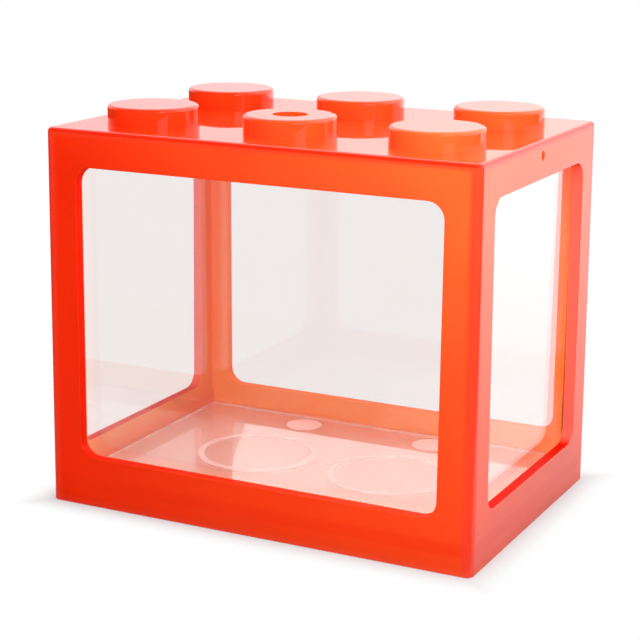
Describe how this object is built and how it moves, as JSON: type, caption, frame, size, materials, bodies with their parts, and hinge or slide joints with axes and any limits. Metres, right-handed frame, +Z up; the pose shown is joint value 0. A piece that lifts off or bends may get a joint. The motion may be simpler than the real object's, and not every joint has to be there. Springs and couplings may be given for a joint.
{
  "type": "stackable desktop aquarium",
  "caption": "Small clear box tank under a translucent case with round stacking studs on its roof and a window in each wall; the case lifts off.",
  "frame": {"origin": "middle of the footprint, on the surface the unit stands on", "axes": "+X along the long side to the right, -Y out of the front face, +Z up through the studs"},
  "size_m": [0.122, 0.0844, 0.1064],
  "materials": {
    "case_plastic": "translucent, polished, moulded",
    "clear_plastic": "clear, polished, moulded"
  },
  "bodies": {
    "tank": {"inner_tank": "clear_plastic"},
    "case": {"outer_case": "case_plastic"}
  },
  "joints": [
    {"name": "lift_off", "type": "slide", "parent": "tank", "child": "case", "axis": [0, 0, 1], "range_m": [0, 0.12]}
  ]
}
